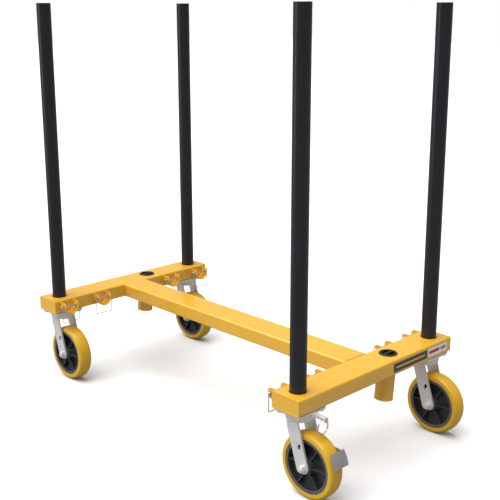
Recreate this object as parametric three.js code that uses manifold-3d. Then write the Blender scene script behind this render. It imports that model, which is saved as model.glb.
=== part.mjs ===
// A beam trolley: an H-shaped chassis of rectangular tube on four swivel casters. Four round
// posts stand in sockets at its corners, two more sockets are plugged, and eight U-shaped
// brackets with wire-lock pins hang on the inner faces of the cross-beams.
// Millimetres, +Z up. +X runs along the main beam and +Y along the cross-beams.
import * as THREE from 'three';
import { mergeVertices } from 'three/addons/utils/BufferGeometryUtils.js';
import Module from 'manifold-3d';

const wasm = await Module();
wasm.setup();

// ---------------------------------------------------------------- driving dimensions
const gap = 0.3; // between faces that rest on each other

// Chassis
const beamSpacing = 1238; // between the cross-beams' centre lines
const crossBeamLength = 742; // over its end caps
const tubeWidth = 105;
const tubeHeight = 50.8;
const tubeWall = 4.8;
const tubeCorner = 6;
const capThickness = 5;

// Posts and their sockets
const postDiameter = 50;
const postWall = 3;
const postLength = 1122.5;
const postFromEnd = 53; // post axis to the cross-beam's end
const socketClearance = 1.25; // radial, around a post
const socketWall = 3.9;
const spareSocketOffset = 99.5; // its mouth's centre, from the main beam's centre line
const spareSocketLength = 150; // along its own axis
const spareSocketRake = 6; // degrees; a post in it leans back from the main beam
const plugFlange = 3; // thickness of the rim that lies on the beam
const plugRim = 3.6; // how far the rim laps over the socket's wall
const plugTaper = 2.4; // the body is this much smaller than the bore, which leans
const plugDepth = 18;
const plugWall = 2.6;
const plugBar = 9; // finger bar across the plug

// Brackets, pins and wire locks
const bracketFromEnd = 50; // outer bracket's centre to the cross-beam's end
const bracketPitch = 149; // from the outer bracket to the inner one
const cradleClearance = 0.4; // radial, around a post laid in the bracket
const bracketStrap = 3.2;
const bracketReach = 37.5; // out from the beam's face
const bracketBelowDeck = 5;
const bracketCorner = 12;
const pinDiameter = 9.5;
const pinReach = 23.5; // pin axis to the beam's face
const pinBelowDeck = 21;
const pinClearance = 0.4; // radial, in the bracket's holes
const pinHeadLength = 11; // flat tab that the wire lock passes through
const pinHeadHeight = 15;
const pinHeadThickness = 6;
const pinTail = 2.5; // how far the pin's tip stands out of the bracket
const wireDiameter = 2.8;
const wireOffset = 1.8; // wire loop's plane, outward of the pin's head
const wireDrop = 59; // below the pin's axis
const wireClearance = 2; // wire loop to the bracket's leg

// Casters
const wheelDiameter = 203.2;
const tyreWidth = 50;
const treadDepth = 19.4; // radial thickness of the tyre
const coreWidth = 47;
const coreRim = 9.5; // radial thickness of the rim
const coreWeb = 7;
const hubDiameter = 58;
const hubLength = 57;
const spokeCount = 6;
const spokeWidth = 5;
const axleDiameter = 12.4;
const axleSleeve = 18.4; // sleeve between the fork's legs
const nutAcross = 19;
const nutLength = 12.5;
const forkSide = 6; // tyre's side to the fork's leg
const forkPlate = 6.35;
const forkBend = 9; // outer bend between the crown and a leg
const wheelToCrown = 33.45;
const casterTrail = 47; // swivel axis to the axle
const crownFront = 20.5; // crown's leading edge, ahead of the swivel axis
const crownBack = 21.5; // its trailing edge
const racewayDiameter = 89;
const racewayHeight = 15.7; // crown to the top plate
const kingPinDiameter = 17;
const topPlate = 8;
const topPlateLength = 114.3; // along the cross-beam
const topPlateWidth = 101.6;
const topPlateCorner = 8;
const casterFromEnd = 64.6; // swivel axis to the cross-beam's end

// Brake and swivel lock of one caster
const pedalThickness = 3.5;
const pedalOverhang = 3.6; // pedal's free edge beyond the tyre's side
const brakeArm = 4.2;
const brakeArmGap = 1.2; // tyre's side to the brake's arm
const pivotDiameter = 7.4;
const slotWidth = 11;
const slotLength = 19;
const lockWidth = 14;
const lockReach = 49; // out from the top plate's edge
const lockHeight = 15.5; // of its end walls
const lockSide = 10.6; // height of its side walls
const lockBelowPlate = 1.7; // lock's top, below the beam
const lockSheet = 2.5;
const plungerDiameter = 6.4;
const plungerBelowPlate = 3.7; // its axis, below the top plate
const plungerNose = 0.8; // gap to the raceway
const pullRingDiameter = 44;
const pullRingWire = 2.4;
const pullRingFromEnd = 13.8; // its hole in the plunger, from the lock's end

// Sides of a full turn
const wheelSides = 24;
const roundSides = 16;
const holeSides = 12;
const pinSides = 8;

// ---------------------------------------------------------------- derived places
const tyreRadius = wheelDiameter / 2;
const coreDiameter = wheelDiameter - 2 * treadDepth;
const crownBottom = wheelDiameter + wheelToCrown;
const crownTop = crownBottom + forkPlate;
const plateBottom = crownTop + racewayHeight;
const plateTop = plateBottom + topPlate;
const beamBottom = plateTop + gap;
const deckTop = beamBottom + tubeHeight;
const beamEnd = crossBeamLength / 2;
const tubeHalf = tubeWidth / 2;
const socketBore = postDiameter / 2 + socketClearance;
const socketOuter = socketBore + socketWall;
const postBottom = beamBottom + tubeWall + gap;
const pinHeight = deckTop - pinBelowDeck;
const bracketInner = postDiameter / 2 + cradleClearance;
const bracketOuter = bracketInner + bracketStrap;
const legInner = tyreWidth / 2 + forkSide;
const legOuter = legInner + forkPlate;
const plateHalfX = topPlateWidth / 2;

// ---------------------------------------------------------------- solids
const X = new THREE.Vector3(1, 0, 0);
const Y = new THREE.Vector3(0, 1, 0);
const Z = new THREE.Vector3(0, 0, 1);

function solidOf(geometry) {
  const bare = geometry.index ? geometry.toNonIndexed() : geometry;
  bare.deleteAttribute('normal');
  bare.deleteAttribute('uv');
  const merged = mergeVertices(bare, 1e-4);
  return new wasm.Manifold(new wasm.Mesh({
    numProp: 3,
    vertProperties: new Float32Array(merged.attributes.position.array),
    triVerts: new Uint32Array(merged.index.array),
  }));
}

function geometryOf(solid) {
  const mesh = solid.getMesh();
  const geometry = new THREE.BufferGeometry();
  geometry.setAttribute('position', new THREE.BufferAttribute(mesh.vertProperties, 3));
  geometry.setIndex(new THREE.BufferAttribute(mesh.triVerts, 1));
  const faceted = geometry.toNonIndexed();
  faceted.computeVertexNormals();
  return faceted;
}

// An outline pushed along one axis, from one place to another. Each arc gets arcSides sides.
function prism(shape, axis, from, to, arcSides = 2) {
  const geometry = new THREE.ExtrudeGeometry(shape, {
    depth: to - from, bevelEnabled: false, curveSegments: arcSides / 2,
  });
  const turn = new THREE.Matrix4();
  if (axis === 'x') turn.makeBasis(Y, Z, X).setPosition(from, 0, 0); // outline in Y, Z
  if (axis === 'y') turn.makeBasis(X, Z, Y.clone().negate()).setPosition(0, to, 0); // in X, Z
  if (axis === 'z') turn.setPosition(0, 0, from); // in X, Y
  return solidOf(geometry.applyMatrix4(turn));
}

// A profile of [radius, height] points turned about one axis.
function turned(profile, axis, sides = roundSides, start = 0) {
  const points = profile.map(([radius, height]) => new THREE.Vector2(radius, height));
  const geometry = new THREE.LatheGeometry(points, sides, start);
  const turn = new THREE.Matrix4();
  if (axis === 'x') turn.makeBasis(Y, X, Z.clone().negate());
  if (axis === 'z') turn.makeBasis(X, Z, Y.clone().negate());
  return solidOf(geometry.applyMatrix4(turn));
}

// A wheel's profile, turned so that it stands on a flat side at its full radius.
function wheelTurned(profile) {
  const halfSide = Math.PI / wheelSides;
  const stretched = profile.map(([radius, height]) => [radius / Math.cos(halfSide), height]);
  return turned(stretched, 'y', wheelSides, halfSide);
}

function rod(radius, axis, from, to, sides = roundSides) {
  return turned([[0, from], [radius, from], [radius, to], [0, to]], axis, sides);
}

function block(x0, x1, y0, y1, z0, z1) {
  const geometry = new THREE.BoxGeometry(x1 - x0, y1 - y0, z1 - z0);
  geometry.translate((x0 + x1) / 2, (y0 + y1) / 2, (z0 + z1) / 2);
  return solidOf(geometry);
}

function roundedRectangle(halfWidth, halfHeight, corner, centreHeight = 0) {
  const [w, h] = [halfWidth - corner, halfHeight - corner];
  const shape = new THREE.Shape();
  shape.absarc(w, centreHeight + h, corner, 0, Math.PI / 2);
  shape.absarc(-w, centreHeight + h, corner, Math.PI / 2, Math.PI);
  shape.absarc(-w, centreHeight - h, corner, Math.PI, 1.5 * Math.PI);
  shape.absarc(w, centreHeight - h, corner, 1.5 * Math.PI, 2 * Math.PI);
  return shape;
}

function slot(halfWidth, halfLength) {
  const straight = halfLength - halfWidth;
  const shape = new THREE.Shape();
  shape.absarc(0, straight, halfWidth, 0, Math.PI);
  shape.absarc(0, -straight, halfWidth, Math.PI, 2 * Math.PI);
  return shape;
}

function circlePoints(x, y, radius, count) {
  return Array.from({ length: count }, (unused, i) => {
    const angle = (2 * Math.PI * i) / count;
    return [x + radius * Math.cos(angle), y + radius * Math.sin(angle)];
  });
}

// The outline that a tight band round the points would take.
function wrapped(points) {
  const sorted = [...points].sort((a, b) => a[0] - b[0] || a[1] - b[1]);
  const turnOf = (a, b, c) => (b[0] - a[0]) * (c[1] - a[1]) - (b[1] - a[1]) * (c[0] - a[0]);
  const half = (list) => {
    const chain = [];
    for (const point of list) {
      while (chain.length > 1 && turnOf(chain.at(-2), chain.at(-1), point) <= 1e-6) chain.pop();
      chain.push(point);
    }
    return chain.slice(0, -1);
  };
  const outline = [...half(sorted), ...half(sorted.reverse())];
  return new THREE.Shape(outline.map(([x, y]) => new THREE.Vector2(x, y)));
}

// ---------------------------------------------------------------- scene
const paint = (name, color, roughness, metalness) =>
  new THREE.MeshStandardMaterial({ name, color, roughness, metalness });
const yellowPaint = paint('yellow_powder_coat', 0xf0b040, 0.3, 0);
const blackPaint = paint('black_powder_coat', 0x2c2b30, 0.4, 0);
const blackPlastic = paint('black_plastic', 0x17171a, 0.5, 0);
const zinc = paint('zinc_plated_steel', 0xc8c4c0, 0.35, 0.9);
const greySteel = paint('grey_steel', 0x73736e, 0.5, 0.8);
const tyreRubber = paint('yellow_polyurethane', 0xdaa52d, 0.5, 0);
const coreCasting = paint('dark_core', 0x48484e, 0.55, 0.2);

const trolley = new THREE.Group();

function add(parent, name, solid, material) {
  const mesh = new THREE.Mesh(geometryOf(solid), material);
  mesh.name = name;
  parent.add(mesh);
  return mesh;
}

const sides = [
  { name: 'left', x: -beamSpacing / 2, inward: 1 },
  { name: 'right', x: beamSpacing / 2, inward: -1 },
];
const ends = [{ name: 'front', sign: -1 }, { name: 'back', sign: 1 }];

// ---------------------------------------------------------------- chassis
// The cross-beam has two blind post sockets, which end on its bottom wall, and a raked spare
// socket that runs right through it.
function crossBeam() {
  const middle = deckTop - tubeHeight / 2;
  const end = beamEnd - capThickness - gap;
  const outer = roundedRectangle(tubeHalf, tubeHeight / 2, tubeCorner, middle);
  const [halfIn, heightIn] = [tubeHalf - tubeWall, tubeHeight / 2 - tubeWall];
  const inner = roundedRectangle(halfIn, heightIn, tubeCorner - tubeWall, middle);
  let solid = prism(outer, 'y', -end, end).subtract(prism(inner, 'y', -end - 1, end + 1));
  for (const { sign } of ends) {
    const y = sign * (beamEnd - postFromEnd);
    solid = solid
      .add(rod(socketOuter, 'z', beamBottom + 1, deckTop).translate([0, y, 0]))
      .subtract(rod(socketBore, 'z', beamBottom + tubeWall, deckTop + 1).translate([0, y, 0]));
  }
  const raked = (radius, from, to) => rod(radius, 'z', from, to, roundSides)
    .rotate([-spareSocketRake, 0, 0]).translate([0, spareSocketOffset, deckTop]);
  const below = block(-100, 100, -beamEnd, beamEnd, 0, deckTop);
  return solid
    .add(raked(socketOuter, -spareSocketLength, 10).intersect(below))
    .subtract(raked(socketBore, -spareSocketLength - 1, 20));
}

function endCap(sign) {
  const outline = roundedRectangle(tubeHalf, tubeHeight / 2, tubeCorner, deckTop - tubeHeight / 2);
  const [from, to] = [beamEnd - capThickness, beamEnd];
  return sign > 0 ? prism(outline, 'y', from, to) : prism(outline, 'y', -to, -from);
}

function mainBeam() {
  const middle = deckTop - tubeHeight / 2;
  const end = beamSpacing / 2 - tubeHalf - gap;
  const outer = roundedRectangle(tubeHalf, tubeHeight / 2, tubeCorner, middle);
  const [halfIn, heightIn] = [tubeHalf - tubeWall, tubeHeight / 2 - tubeWall];
  const inner = roundedRectangle(halfIn, heightIn, tubeCorner - tubeWall, middle);
  return prism(outer, 'x', -end, end).subtract(prism(inner, 'x', -end - 1, end + 1));
}

// A U-shaped strap, open at the top and level with the beam's underside, built at the origin
// with the beam's face on its -X side.
function bracket() {
  const [top, bottom] = [deckTop - bracketBelowDeck, beamBottom];
  const bowl = bottom + bracketOuter;
  const strap = new THREE.Shape();
  strap.moveTo(-bracketOuter, top);
  strap.absarc(0, bowl, bracketOuter, Math.PI, 2 * Math.PI);
  strap.lineTo(bracketOuter, top);
  strap.lineTo(bracketInner, top);
  strap.absarc(0, bowl, bracketInner, 2 * Math.PI, Math.PI, true);
  strap.lineTo(-bracketInner, top);
  const side = new THREE.Shape(); // rounds the outer top corners of the legs
  side.moveTo(0, bottom - 1);
  side.lineTo(bracketReach, bottom - 1);
  side.absarc(bracketReach - bracketCorner, top - bracketCorner, bracketCorner, 0, Math.PI / 2);
  side.lineTo(0, top);
  const hole = rod(pinDiameter / 2 + pinClearance, 'y', -bracketOuter - 1, bracketOuter + 1, holeSides);
  return prism(strap, 'x', gap, bracketReach, 8)
    .intersect(prism(side, 'y', -bracketOuter - 1, bracketOuter + 1))
    .subtract(hole.translate([pinReach, 0, pinHeight]));
}

// The pin's head carries the wire lock in a cross hole. Built like the bracket.
const pinHeadEnd = -bracketOuter - 0.5;
const pinHeadMiddle = pinHeadEnd - pinHeadLength / 2;
const pinTip = bracketOuter + pinTail;

function lockPin() {
  const [shank, head, chamfer] = [pinDiameter / 2, pinHeadThickness / 2, 1.2];
  const start = pinHeadEnd - 1;
  const body = turned([
    [0, start], [shank, start], [shank, pinTip - chamfer], [shank - chamfer, pinTip], [0, pinTip],
  ], 'y', pinSides);
  const tab = prism(roundedRectangle(pinHeadLength / 2, pinHeadHeight / 2, 3), 'x', -head, head)
    .subtract(rod(wireDiameter / 2 + pinClearance, 'x', -head - 1, head + 1, pinSides));
  return body.add(tab.translate([0, pinHeadMiddle, 0])).translate([pinReach, 0, pinHeight]);
}

// A square loop of wire: through the pin's head, down, along under the bracket, and up to
// the pin's tip, which it ends beside.
function wireLock() {
  const radius = wireDiameter / 2;
  const bar = (axis, from, to) => rod(radius, axis, from, to, 6);
  const plane = pinHeadThickness / 2 + wireOffset;
  const far = pinTip + wireClearance + radius;
  const through = bar('x', -plane, plane + radius).translate([0, pinHeadMiddle, 0]);
  const down = bar('z', -wireDrop - radius, radius).translate([plane, pinHeadMiddle, 0]);
  const along = bar('y', pinHeadMiddle - radius, far + radius).translate([plane, 0, -wireDrop]);
  const up = bar('z', -wireDrop - radius, radius).translate([plane, far, 0]);
  const hook = bar('x', -radius, plane + radius).translate([0, far, 0]);
  return through.add(down).add(along).add(up).add(hook).translate([pinReach, 0, pinHeight]);
}

function post() {
  const [inner, outer, top] = [postDiameter / 2 - postWall, postDiameter / 2, postBottom + postLength];
  return turned([
    [inner, postBottom], [outer, postBottom], [outer, top], [inner, top], [inner, postBottom],
  ], 'z');
}

// A cap with two D-shaped finger pockets, one on each side of a bar.
function socketPlug() {
  const rim = deckTop + gap;
  const [body, flange] = [socketBore - plugTaper, socketBore + plugRim];
  const solid = turned([
    [0, rim - plugDepth], [body, rim - plugDepth], [body, rim], [flange, rim],
    [flange, rim + plugFlange], [0, rim + plugFlange],
  ], 'z');
  const hollow = rod(body - plugWall, 'z', rim - plugDepth + plugWall, rim + plugFlange + 1);
  const bar = block(-plugBar / 2, plugBar / 2, -flange, flange, rim - plugDepth, rim + plugFlange + 2);
  return solid.subtract(hollow.subtract(bar));
}

for (const { name: side, x, inward } of sides) {
  const beam = new THREE.Group();
  beam.position.x = x;
  trolley.add(beam);
  add(beam, `cross_beam_${side}`, crossBeam(), yellowPaint);
  for (const { name: end, sign } of ends) {
    add(beam, `end_cap_${side}_${end}`, endCap(sign), yellowPaint);
    add(beam, `post_${side}_${end}`, post(), blackPaint).position.y = sign * (beamEnd - postFromEnd);
  }
  add(beam, `socket_plug_${side}`, socketPlug(), blackPlastic).position.y = spareSocketOffset;

  const outerBracket = beamEnd - bracketFromEnd;
  const innerBracket = outerBracket - bracketPitch;
  [-outerBracket, -innerBracket, innerBracket, outerBracket].forEach((y, i) => {
    const faceOut = (solid) => (inward > 0 ? solid : solid.mirror([1, 0, 0]));
    const holder = new THREE.Group();
    holder.position.set(inward * tubeHalf, y, 0);
    beam.add(holder);
    add(holder, `bracket_${side}_${i + 1}`, faceOut(bracket()), yellowPaint);
    add(holder, `lock_pin_${side}_${i + 1}`, faceOut(lockPin()), zinc);
    add(holder, `wire_lock_${side}_${i + 1}`, faceOut(wireLock()), zinc);
  });
}
add(trolley, 'main_beam', mainBeam(), yellowPaint);

// ---------------------------------------------------------------- casters
// Each is built about its swivel axis, with the wheel trailing towards +X.
const axle = { x: casterTrail, z: tyreRadius };
const atAxle = (solid) => solid.translate([axle.x, 0, axle.z]);
const racewayRadius = racewayDiameter / 2;
const racewayWall = 5;
const racewayTop = plateBottom - 1.2;
const kingBore = kingPinDiameter / 2 + gap + 0.2;
const pivot = { x: casterTrail - 16.7, z: tyreRadius + 60.9 };

// Top plate with the upper raceway and the king pin, whose head holds the fork from below.
function casterPlate() {
  const outline = roundedRectangle(plateHalfX, topPlateLength / 2, topPlateCorner);
  const plate = prism(outline, 'z', plateBottom, plateTop);
  const [pin, head] = [kingPinDiameter / 2, kingPinDiameter / 2 + 4];
  const inner = racewayRadius - racewayWall - 5;
  const stem = turned([
    [0, crownBottom - 13], [head, crownBottom - 13], [head, crownBottom - 3.6], [pin, crownBottom - 3.6],
    [pin, crownTop + 0.8], [inner, crownTop + 0.8], [inner, plateBottom + 1], [0, plateBottom + 1],
  ], 'z');
  return plate.add(stem);
}

// The fork is one bent plate: an upside-down U across the wheel, cut to the legs' outline.
function fork() {
  const across = new THREE.Shape();
  across.moveTo(-legOuter, 0);
  across.absarc(-legOuter + forkBend, crownTop - forkBend, forkBend, Math.PI, Math.PI / 2, true);
  across.absarc(legOuter - forkBend, crownTop - forkBend, forkBend, Math.PI / 2, 0, true);
  across.lineTo(legOuter, 0);
  across.lineTo(legInner, 0);
  across.lineTo(legInner, crownBottom);
  across.lineTo(-legInner, crownBottom);
  across.lineTo(-legInner, 0);
  const reach = legOuter + 1;
  const strip = (x, z, radius) => prism(wrapped([
    [-crownFront, crownTop], [-crownFront + 2.3, crownTop - 28],
    [crownBack - 2, crownTop], [crownBack - 1, crownBottom - 5],
    ...circlePoints(axle.x + x, axle.z + z, radius, roundSides),
  ]), 'y', -reach, reach);
  const axleHole = rod(axleDiameter / 2 + gap, 'y', -reach, reach, pinSides);
  const slotHole = prism(slot(slotWidth / 2, slotLength / 2), 'y', -reach, reach, 4)
    .rotate([0, -17, 0]).translate([pivot.x, 0, pivot.z]);
  const raceway = turned([
    [1, crownBottom], [racewayRadius - 8, crownBottom - 3], [racewayRadius - 3.5, crownBottom - 1],
    [racewayRadius, crownTop + 3], [racewayRadius, racewayTop],
    [racewayRadius - racewayWall, racewayTop], [racewayRadius - racewayWall, crownTop], [1, crownTop], [1, crownBottom],
  ], 'z');
  return prism(across, 'x', -crownFront - 1, axle.x + 60)
    .intersect(strip(-0.8, 0.6, 17.8).add(strip(-12, -4.6, 14)))
    .subtract(atAxle(axleHole))
    .subtract(slotHole)
    .add(raceway)
    .subtract(rod(kingBore, 'z', crownBottom - 5, crownTop + 1));
}

// Bolt, sleeve and the two nuts of one axle.
function axleBolt() {
  const nut = nutAcross / 2 / Math.cos(Math.PI / 6);
  const [sleeve, bolt, legFace] = [legInner - gap, legOuter + gap, legOuter + gap + nutLength];
  return rod(axleSleeve / 2, 'y', -sleeve, sleeve, holeSides)
    .add(rod(axleDiameter / 2, 'y', -legFace - 2, legFace + 2, pinSides))
    .add(rod(nut, 'y', -legFace, -bolt, 6))
    .add(rod(nut, 'y', bolt, legFace, 6));
}

function tyre() {
  const inner = coreDiameter / 2 + gap;
  const half = tyreWidth / 2;
  return wheelTurned([
    [inner, -half], [tyreRadius - 9, -half], [tyreRadius - 3.2, -half + 5.5],
    [tyreRadius - 0.6, -half + 14], [tyreRadius, -half + 19], [tyreRadius, half - 19],
    [tyreRadius - 0.6, half - 14], [tyreRadius - 3.2, half - 5.5], [tyreRadius - 9, half],
    [inner, half],
    [inner, -half],
  ]);
}

function wheelCore() {
  const [bore, hub, rim] = [axleSleeve / 2 + gap, hubDiameter / 2, coreDiameter / 2];
  const [web, half, hubHalf] = [coreWeb / 2, coreWidth / 2, hubLength / 2];
  const rimInner = rim - coreRim;
  const body = wheelTurned([
    [bore, -hubHalf], [hub - 6, -hubHalf], [hub, -web], [rimInner, -web], [rimInner, -half],
    [rim, -half], [rim, half], [rimInner, half], [rimInner, web], [hub, web],
    [hub - 6, hubHalf], [bore, hubHalf], [bore, -hubHalf],
  ]);
  const spokes = Array.from({ length: spokeCount }, (unused, i) =>
    block(hub - 7, rimInner + 1, -half + 3, half - 3, -spokeWidth / 2, spokeWidth / 2)
      .rotate([0, (i * 360) / spokeCount, 0]));
  return spokes.reduce((core, spoke) => core.add(spoke), body);
}

// Pedal plate behind the tread, on an arm that runs between the tyre and the far leg to a
// pivot stub in that leg's slot.
function brakePedal() {
  const outward = (radius, angle) =>
    [axle.x + radius * Math.cos(angle), axle.z + radius * Math.sin(angle)];
  const [near, bend, low] = [tyreRadius + 15.5, tyreRadius + 15.9, tyreRadius + 14.8];
  const profile = new THREE.Shape([
    outward(low, 0.262), outward(bend, 0.453), outward(near + 0.5, 0.6), // outer face
    outward(near, 0.66), outward(near - 3, 0.645), // lip
    outward(near - pedalThickness, 0.585), outward(bend - pedalThickness, 0.453),
    outward(low - pedalThickness, 0.268), // inner face
  ].map(([x, z]) => new THREE.Vector2(x, z)));
  const armFrom = tyreWidth / 2 + brakeArmGap;
  const plate = prism(profile, 'y', -tyreWidth / 2 - pedalOverhang, armFrom + brakeArm);
  const arm = prism(wrapped([
    ...circlePoints(pivot.x, pivot.z, 9, holeSides), outward(near - 2, 0.6), outward(low - 1.5, 0.36),
  ]), 'y', armFrom, armFrom + brakeArm);
  const stub = rod(pivotDiameter / 2, 'y', armFrom + 1, legOuter + 2, holeSides);
  return plate.add(arm).add(stub.translate([pivot.x, 0, pivot.z]));
}

// Channel beside the top plate that guides the swivel lock's plunger.
const plungerHeight = plateBottom - plungerBelowPlate;
const lockStart = plateHalfX + gap;
const lockEnd = lockStart + lockReach;
const lockTop = plateTop - lockBelowPlate;

function swivelLockBracket() {
  const [half, bottom] = [lockWidth / 2, lockTop - lockHeight];
  const outer = block(lockStart, lockEnd, -half, half, bottom, lockTop);
  const inside = half - lockSheet;
  const [from, to, roof] = [lockStart + lockSheet, lockEnd - lockSheet, lockTop - lockSheet];
  const hollow = block(from, to, -inside, inside, bottom - 1, roof)
    .add(block(from, to, -half - 1, half + 1, bottom - 1, lockTop - lockSide));
  const guide = rod(plungerDiameter / 2 + gap, 'x', lockStart - 1, lockEnd + 1, holeSides);
  return outer.subtract(hollow).subtract(guide.translate([0, 0, plungerHeight]));
}

function swivelLockPlunger() {
  const nose = racewayRadius + plungerNose;
  const tail = lockEnd - 1;
  const eye = lockEnd - pullRingFromEnd;
  const ringTop = lockTop - lockSide - plungerHeight - gap - pullRingWire / 2; // under the sides
  const collar = rod(lockWidth / 2 - lockSheet - gap, 'x', lockStart + 12, lockStart + 15, holeSides);
  const ring = new THREE.TorusGeometry(pullRingDiameter / 2, pullRingWire / 2, 6, roundSides);
  ring.rotateY(Math.PI / 2).translate(eye, 0, ringTop - pullRingDiameter / 2);
  return rod(plungerDiameter / 2, 'x', nose, tail, pinSides).add(collar).add(solidOf(ring))
    .translate([0, 0, plungerHeight]);
}

for (const { name: side, x } of sides) {
  for (const { name: end, sign } of ends) {
    const corner = `${side}_${end}`;
    const caster = new THREE.Group();
    caster.position.set(x, sign * (beamEnd - casterFromEnd), 0);
    trolley.add(caster);
    add(caster, `caster_plate_${corner}`, casterPlate(), zinc);
    add(caster, `fork_${corner}`, fork(), zinc);
    add(caster, `axle_${corner}`, atAxle(axleBolt()), zinc);
    add(caster, `wheel_core_${corner}`, atAxle(wheelCore()), coreCasting);
    add(caster, `tyre_${corner}`, atAxle(tyre()), tyreRubber);
    if (corner !== 'right_front') continue;
    add(caster, 'brake_pedal', brakePedal(), greySteel);
    add(caster, 'swivel_lock_bracket', swivelLockBracket(), zinc);
    add(caster, 'swivel_lock_plunger', swivelLockPlunger(), zinc);
  }
}

// The origin is under the middle of the whole trolley's length, on the floor.
const extent = new THREE.Box3().setFromObject(trolley);
trolley.position.x = -(extent.min.x + extent.max.x) / 2;

export default trolley;
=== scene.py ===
# %% [markdown]
# # A beam trolley
#
# The trolley is a workshop cart without a deck. Two cross-beams and one long beam of
# rectangular steel tube are welded into an H and powder coated yellow. It rolls on four swivel
# casters, and one of them has a wheel brake and a swivel lock. Four black posts stand in pipe
# sockets at the corners, two spare sockets are closed with plugs, and eight U-shaped brackets
# with pins hang on the inner faces of the cross-beams.
#
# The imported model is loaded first. It gives every place and size here, so each piece is
# drawn straight onto the spot where its solid stands, in metres.

import math

import bpy
from mathutils import Matrix, Vector


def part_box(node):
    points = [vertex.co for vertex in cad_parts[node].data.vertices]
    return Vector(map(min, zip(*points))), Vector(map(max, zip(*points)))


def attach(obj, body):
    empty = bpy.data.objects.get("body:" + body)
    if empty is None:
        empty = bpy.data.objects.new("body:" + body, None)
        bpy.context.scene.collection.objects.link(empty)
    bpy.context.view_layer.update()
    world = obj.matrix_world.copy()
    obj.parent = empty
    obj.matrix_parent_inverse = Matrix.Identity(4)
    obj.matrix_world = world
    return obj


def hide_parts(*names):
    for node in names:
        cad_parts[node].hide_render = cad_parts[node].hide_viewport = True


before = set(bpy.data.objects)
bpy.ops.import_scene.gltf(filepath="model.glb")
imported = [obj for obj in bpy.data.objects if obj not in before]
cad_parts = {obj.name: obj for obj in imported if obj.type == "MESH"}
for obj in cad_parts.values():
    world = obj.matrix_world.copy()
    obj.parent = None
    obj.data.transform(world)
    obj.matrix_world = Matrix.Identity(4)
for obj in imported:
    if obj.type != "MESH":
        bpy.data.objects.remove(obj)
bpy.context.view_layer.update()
mm = 0.001

# %% [markdown]
# ## The view
#
# The trolley is seen from a little above the posts' middle, turned about 45 degrees, with its
# braked caster nearest. A long lens keeps the posts upright. The small shifts only frame the
# object, and depth of field stays off.

# %% Camera
bpy.ops.object.camera_add(
    location=(2.20505, -2.09077, 1.38031),
    rotation=(math.radians(75.79), 0, math.radians(45.66)),
)
camera = bpy.context.object
camera.name = "view_camera"
camera.data.lens = 65.52
camera.data.sensor_width = 36
camera.data.shift_x = -0.0099
camera.data.shift_y = -0.0249
bpy.context.scene.camera = camera
print("camera at", [round(v, 3) for v in camera.location])

# %% [markdown]
# ## Studio
#
# A pale floor, a very soft overhead light a little to the front left, and a tall soft box at
# the left that draws the long highlight on the posts. The overhead light is a sun with a wide
# disc, because that lights the floor evenly out to its far edge. The surroundings are dim for
# the light that they give and white where they are looked at, so the floor melts into them.
# The view transform is Standard, because a filmic one would grey the yellow.

# %% Floor, lights and surroundings
def soft_light(name, place, aim, width, height, watts):
    toward = Vector(aim) - Vector(place)
    bpy.ops.object.light_add(
        type="AREA", location=place, rotation=toward.to_track_quat("-Z", "Y").to_euler()
    )
    light = bpy.context.object
    light.name = name
    light.data.shape = "RECTANGLE"
    light.data.size = width
    light.data.size_y = height
    light.data.energy = watts


def split_by_ray(tree, for_light, for_camera, surface):
    """Shows one shader to the camera, and lets another give the light."""
    ray = tree.nodes.new("ShaderNodeLightPath")
    both = tree.nodes.new("ShaderNodeMixShader")
    tree.links.new(ray.outputs["Is Camera Ray"], both.inputs["Fac"])
    tree.links.new(for_light, both.inputs[1])
    tree.links.new(for_camera, both.inputs[2])
    tree.links.new(both.outputs["Shader"], surface)


high = Vector((-1.0, -1.5, 5.0))
bpy.ops.object.light_add(
    type="SUN", location=high, rotation=(-high).to_track_quat("-Z", "Y").to_euler()
)
overhead = bpy.context.object
overhead.name = "overhead_light"
overhead.data.energy = 3.8
overhead.data.angle = math.radians(75)
soft_light("left_softbox", (-3.2, -4.4, 1.5), (0, 0, 0.7), 1.6, 3.0, 30)

bpy.ops.mesh.primitive_plane_add(size=60, location=(0, 0, 0))
floor = bpy.context.object
floor.name = "studio_floor"

bpy.context.scene.view_settings.view_transform = "Standard"
world = bpy.data.worlds.new("studio_surroundings")
bpy.context.scene.world = world
world.use_nodes = True
tree = world.node_tree
sky = tree.nodes["Background"]
sky.inputs["Color"].default_value = (0.96, 0.98, 1.0, 1)
sky.inputs["Strength"].default_value = 0.36
seen = tree.nodes.new("ShaderNodeBackground")
seen.inputs["Color"].default_value = (1, 1, 1, 1)
seen.inputs["Strength"].default_value = 1.0
split_by_ray(tree, sky.outputs["Background"], seen.outputs["Background"],
             tree.nodes["World Output"].inputs["Surface"])
print("two lights and the surroundings are set")

# %% [markdown]
# ## Finishes
#
# No finish on the trolley is one flat colour. A powder coat flows into a faint orange peel
# and drifts slightly in tone, zinc plate is patchy and hazy, the tread is moulded with a fine
# skin, and the cast wheel centre is grainy. Three effects are shared by all of them, so each
# is a node group that is built once and placed with its own values: a slow drift between two
# colours, a fine variation of gloss, and a small relief. All are patterns in space on Object
# coordinates, so they need no unwrapping and stay put when a part moves.

# %% Shared effects
def effect(name, inputs, outputs):
    group = bpy.data.node_groups.new(name, "ShaderNodeTree")
    for label, kind, value in inputs:
        socket = group.interface.new_socket(label, in_out="INPUT", socket_type=kind)
        socket.default_value = value
    for label, kind in outputs:
        group.interface.new_socket(label, in_out="OUTPUT", socket_type=kind)
    entry = group.nodes.new("NodeGroupInput")
    exit_ = group.nodes.new("NodeGroupOutput")
    return group, entry, exit_


FLOAT, COLOR, VECTOR = "NodeSocketFloat", "NodeSocketColor", "NodeSocketVector"


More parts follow.
